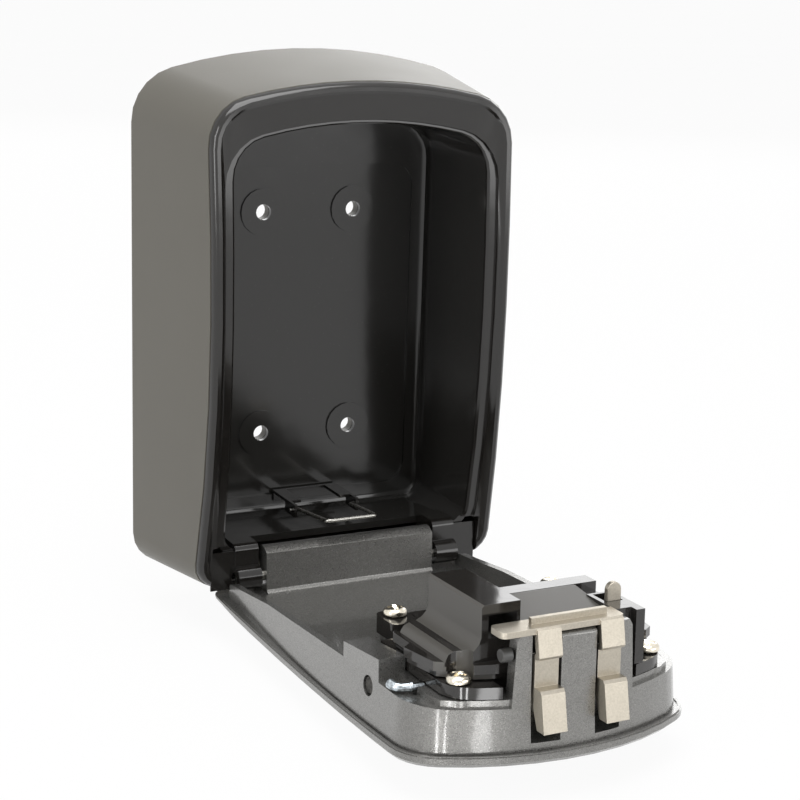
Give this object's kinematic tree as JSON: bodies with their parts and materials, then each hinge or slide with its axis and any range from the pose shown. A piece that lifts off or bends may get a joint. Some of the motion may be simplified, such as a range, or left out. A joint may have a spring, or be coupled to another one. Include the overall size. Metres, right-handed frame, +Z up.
{
  "type": "combination key safe",
  "caption": "Wall-mounted key safe with an arched die-cast body, a door that swings down, number dials under a shutter, and a sprung two-hook latch.",
  "frame": {"origin": "centre of the flat back face, on the wall plane", "axes": "+Y into the wall, +Z up, +X to the right for someone facing the safe"},
  "size_m": [0.104, 0.164, 0.156],
  "materials": {
    "shell": "satin warm dark grey paint",
    "liner": "glossy black",
    "casting": "grey metallic flake lacquer on a zinc casting",
    "housing": "high gloss black moulding",
    "nickel": "warm nickel plate, satin",
    "steel": "plain bright steel",
    "zinc": "blue-white zinc plate",
    "dial": "matt black with white figures",
    "front_plastic": "fine matt black"
  },
  "bodies": {
    "safe_body": {"outer_shell": "shell", "inner_liner": "liner", "hinge_pin": "steel", "bail_bracket": "liner", "liner_screw_1": "zinc", "liner_screw_2": "zinc", "liner_screw_3": "zinc", "liner_screw_4": "zinc"},
    "bail": {"wire_bail": "steel"},
    "door": {"door_casting": "casting", "housing_base_plate": "housing", "mechanism_housing": "housing", "dial_shaft": "steel", "detent_spring": "steel", "bent_pin": "zinc", "tower_peg": "steel", "pressed_pin": "casting", "latch_spring_left": "steel", "latch_spring_right": "steel", "housing_screw_1": "nickel", "housing_screw_2": "nickel", "housing_screw_3": "nickel", "housing_screw_4": "nickel"},
    "latch": {"latch_plate": "nickel", "release_slider": "front_plastic"},
    "reset": {"reset_lever": "nickel"},
    "shutter": {"weather_shutter": "front_plastic"},
    "dial_wheel_1": {"dial_1": "dial", "code_sleeve_1": "steel"},
    "dial_wheel_2": {"dial_2": "dial", "code_sleeve_2": "steel"},
    "dial_wheel_3": {"dial_3": "dial", "code_sleeve_3": "steel"},
    "dial_wheel_4": {"dial_4": "dial", "code_sleeve_4": "steel"}
  },
  "joints": [
    {"name": "door_hinge", "type": "hinge", "parent": "safe_body", "child": "door", "pos_m": [0, -0.0361, -0.0699], "axis": [-1, 0, 0], "range_deg": [0, 88]},
    {"name": "latch_slide", "type": "slide", "parent": "door", "child": "latch", "axis": [0, 0.9994, -0.0349], "range_m": [0, 0.0031], "stiffness_N_per_m": 600, "springref_m": -0.003, "deforming": ["latch_spring_left", "latch_spring_right"]},
    {"name": "reset_slide", "type": "slide", "parent": "door", "child": "reset", "axis": [0, 0.9994, -0.0349], "range_m": [0, 0.004]},
    {"name": "shutter_slide", "type": "slide", "parent": "door", "child": "shutter", "axis": [0, -0.9994, 0.0349], "range_m": [0, 0.025]},
    {"name": "bail_swing", "type": "hinge", "parent": "safe_body", "child": "bail", "pos_m": [0, -0.0195, -0.0576], "axis": [-1, 0, 0], "range_deg": [0, 75]},
    {"name": "dial_spin_1", "type": "hinge", "parent": "door", "child": "dial_wheel_1", "pos_m": [-0.0105, -0.11805, -0.06984], "axis": [1, 0, 0], "continuous": true},
    {"name": "dial_spin_2", "type": "hinge", "parent": "door", "child": "dial_wheel_2", "pos_m": [-0.0035, -0.11805, -0.06984], "axis": [1, 0, 0], "continuous": true},
    {"name": "dial_spin_3", "type": "hinge", "parent": "door", "child": "dial_wheel_3", "pos_m": [0.0035, -0.11805, -0.06984], "axis": [1, 0, 0], "continuous": true},
    {"name": "dial_spin_4", "type": "hinge", "parent": "door", "child": "dial_wheel_4", "pos_m": [0.0105, -0.11805, -0.06984], "axis": [1, 0, 0], "continuous": true}
  ]
}
